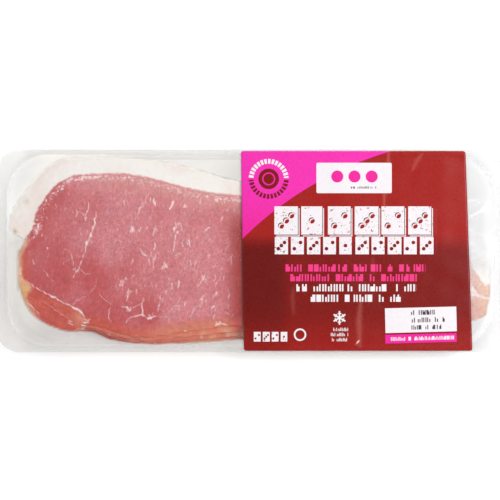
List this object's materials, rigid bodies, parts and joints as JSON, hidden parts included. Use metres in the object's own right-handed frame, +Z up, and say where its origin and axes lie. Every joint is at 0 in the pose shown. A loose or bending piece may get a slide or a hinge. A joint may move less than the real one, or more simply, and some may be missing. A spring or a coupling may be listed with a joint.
{
  "type": "bacon pack",
  "caption": "Flat clear tray with a sealed clear film, a fanned stack of back bacon rashers inside and a printed label across the top.",
  "frame": {"origin": "centre of the pack's footprint, on the surface it rests on", "axes": "+X along the pack from the open view of the rashers to the label, +Y towards the back fat, +Z up out of the printed side"},
  "size_m": [0.277, 0.1106, 0.0162],
  "materials": {
    "tray_plastic": "clear thin thermoformed plastic, glossy",
    "lid_film": "clear thin lidding film, glossy",
    "label_print": "satin printed label in dark red with a bright pink corner",
    "rasher_meat": "moist raw cured pork with a cream fat edge"
  },
  "bodies": {
    "root": {"tray": "tray_plastic", "film": "lid_film", "label": "label_print", "rasher_1": "rasher_meat", "rasher_2": "rasher_meat", "rasher_3": "rasher_meat", "rasher_4": "rasher_meat", "rasher_5": "rasher_meat", "rasher_6": "rasher_meat", "rasher_7": "rasher_meat", "rasher_8": "rasher_meat"}
  },
  "joints": []
}
